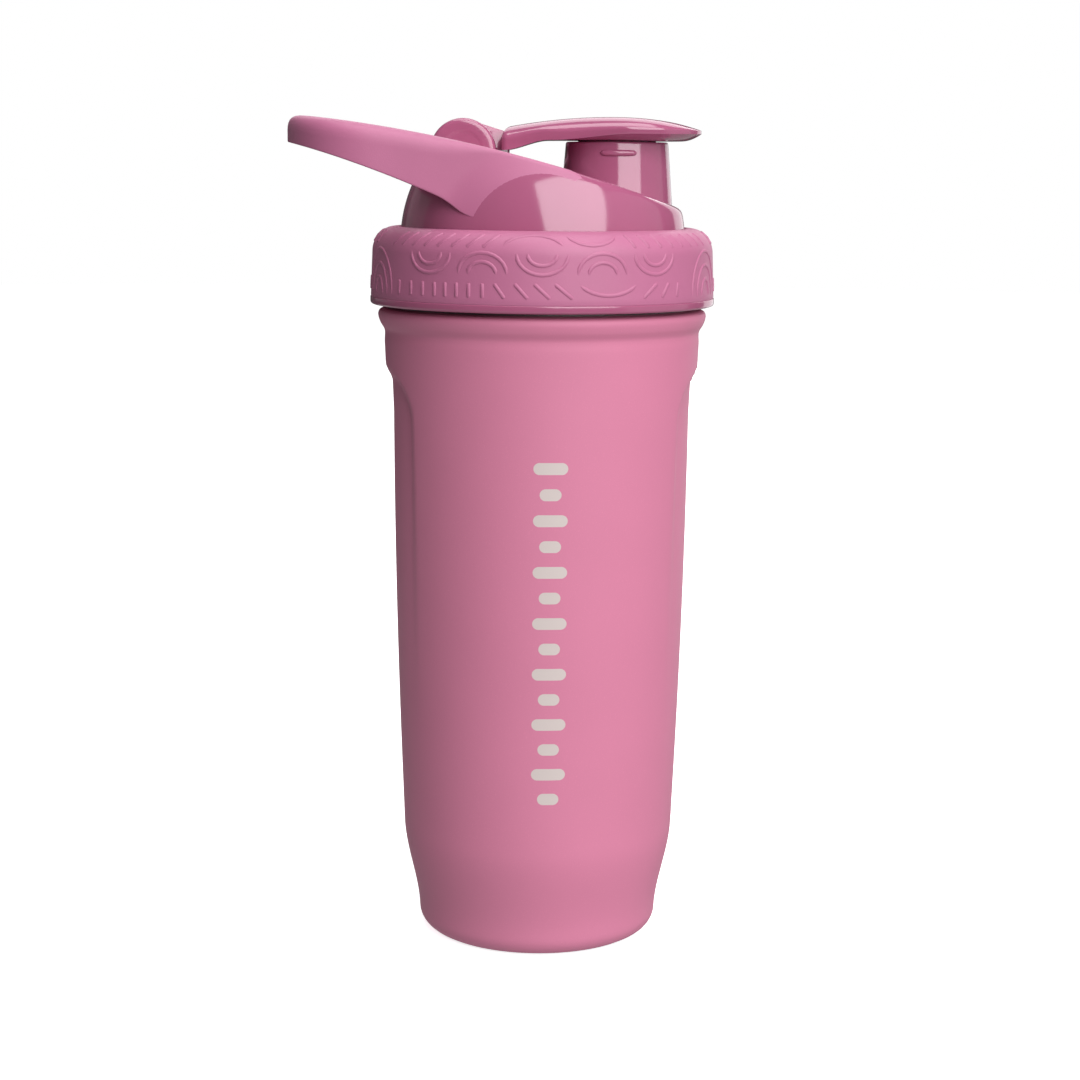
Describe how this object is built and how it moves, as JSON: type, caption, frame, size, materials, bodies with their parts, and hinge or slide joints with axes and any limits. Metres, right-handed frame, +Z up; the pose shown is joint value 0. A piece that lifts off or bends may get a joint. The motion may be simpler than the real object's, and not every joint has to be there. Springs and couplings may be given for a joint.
{
  "type": "protein shaker bottle",
  "caption": "Tapered steel shaker cup with a screw-on lid, a carry loop over its shoulder, a round drinking spout and a hinged flip cap.",
  "frame": {"origin": "centre of the base, on the surface the bottle stands on", "axes": "+Z up along the cup's axis; +X from the carry loop over the hinge to the spout"},
  "size_m": [0.1183, 0.096, 0.2302],
  "materials": {
    "powder_coat": "matte powder coat, dusty pink",
    "gloss_plastic": "glossy moulded plastic, dusty mauve pink",
    "matte_plastic": "fine matte moulded plastic, dusty mauve pink",
    "silicone": "soft matte silicone",
    "pin_steel": "drawn steel"
  },
  "bodies": {
    "cup": {"steel_cup": "powder_coat"},
    "gasket": {"lid_gasket": "silicone"},
    "lid": {"lid_shell": "gloss_plastic", "grip_ring": "matte_plastic", "mixer_strainer": "matte_plastic", "hinge_pin": "pin_steel"},
    "cap": {"flip_cap": "gloss_plastic", "spout_seal": "silicone"}
  },
  "joints": [
    {"name": "lid_rise", "type": "slide", "parent": "cup", "child": "gasket", "axis": [0, 0, 1], "range_m": [0, 0.00406]},
    {"name": "lid_turn", "type": "hinge", "parent": "gasket", "child": "lid", "pos_m": [0, 0, 0.19], "axis": [0, 0, 1], "range_deg": [0, 290]},
    {"name": "cap_flip", "type": "hinge", "parent": "lid", "child": "cap", "pos_m": [-0.0218, 0, 0.22065], "axis": [0, -1, 0], "range_deg": [0, 148]}
  ],
  "couplings": [
    {"joint": "lid_rise", "follows": "lid_turn", "m_per_rad": 0.00079577}
  ]
}
